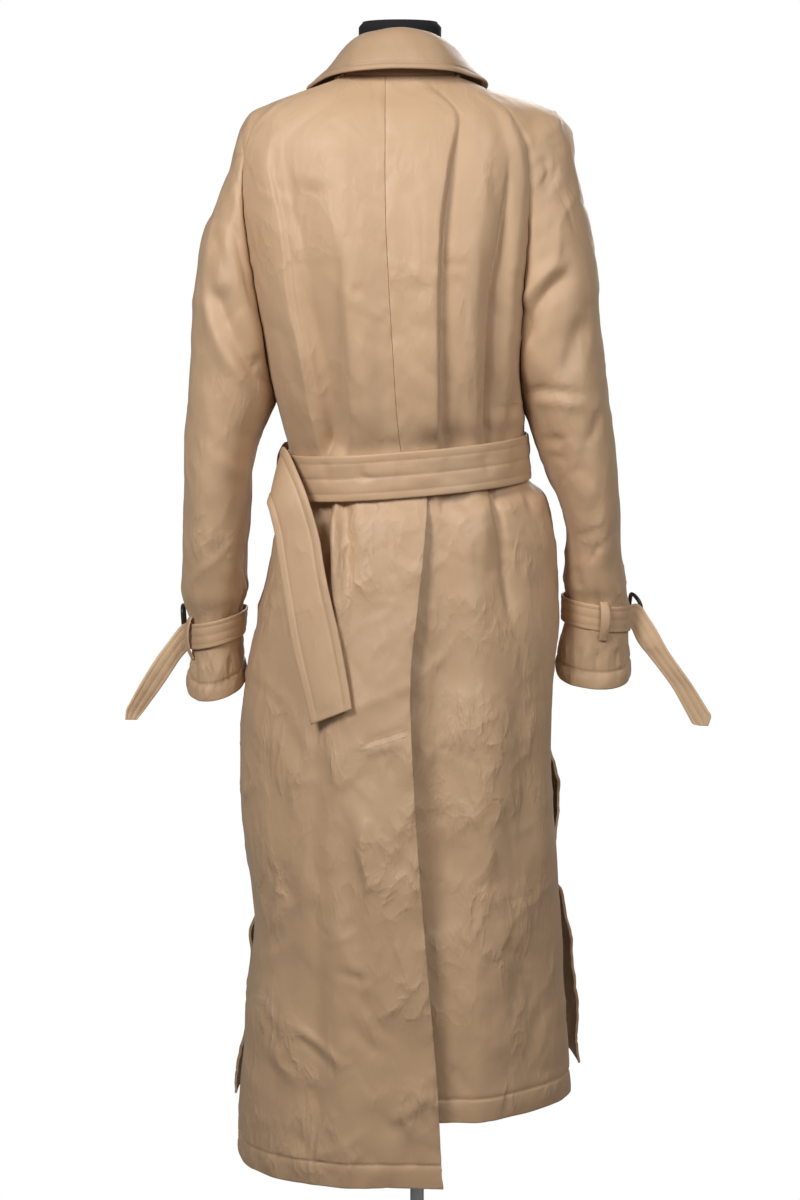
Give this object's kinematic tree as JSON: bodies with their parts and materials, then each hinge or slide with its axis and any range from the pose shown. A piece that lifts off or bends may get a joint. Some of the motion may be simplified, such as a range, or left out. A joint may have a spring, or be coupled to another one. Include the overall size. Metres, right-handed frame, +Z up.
{
  "type": "trench coat on dress form stand",
  "caption": "Long belted raglan trench coat with a turn-down collar, tied belt and buckled cuff straps, worn by a limbless dress form on a pole and round foot.",
  "frame": {"origin": "on the floor, in the middle of the round foot, on the pole's axis", "axes": "+Z up along the pole; the coat's back faces -Y and its front +Y; the wearer's right is +X"},
  "size_m": [0.6701, 0.3581, 1.468],
  "materials": {
    "camel_cotton": "soft-sheen cotton twill",
    "dark_horn": "dark horn",
    "black_jersey": "matt jersey cover",
    "grey_steel": "satin"
  },
  "bodies": {
    "root": {"back_left": "camel_cotton", "back_right": "camel_cotton", "front_left": "camel_cotton", "front_right": "camel_cotton", "sleeve_left_back": "camel_cotton", "sleeve_left_front": "camel_cotton", "sleeve_right_back": "camel_cotton", "sleeve_right_front": "camel_cotton", "collar_leaf": "camel_cotton", "collar_stand": "camel_cotton", "belt": "camel_cotton", "belt_knot": "camel_cotton", "belt_tail_back": "camel_cotton", "belt_tail_front": "camel_cotton", "cuff_strap_left": "camel_cotton", "cuff_strap_right": "camel_cotton", "strap_loop_left": "camel_cotton", "strap_loop_right": "camel_cotton", "buckle_left": "dark_horn", "buckle_right": "dark_horn", "form_torso": "black_jersey", "stand_pole": "grey_steel", "stand_foot": "grey_steel"}
  },
  "joints": []
}
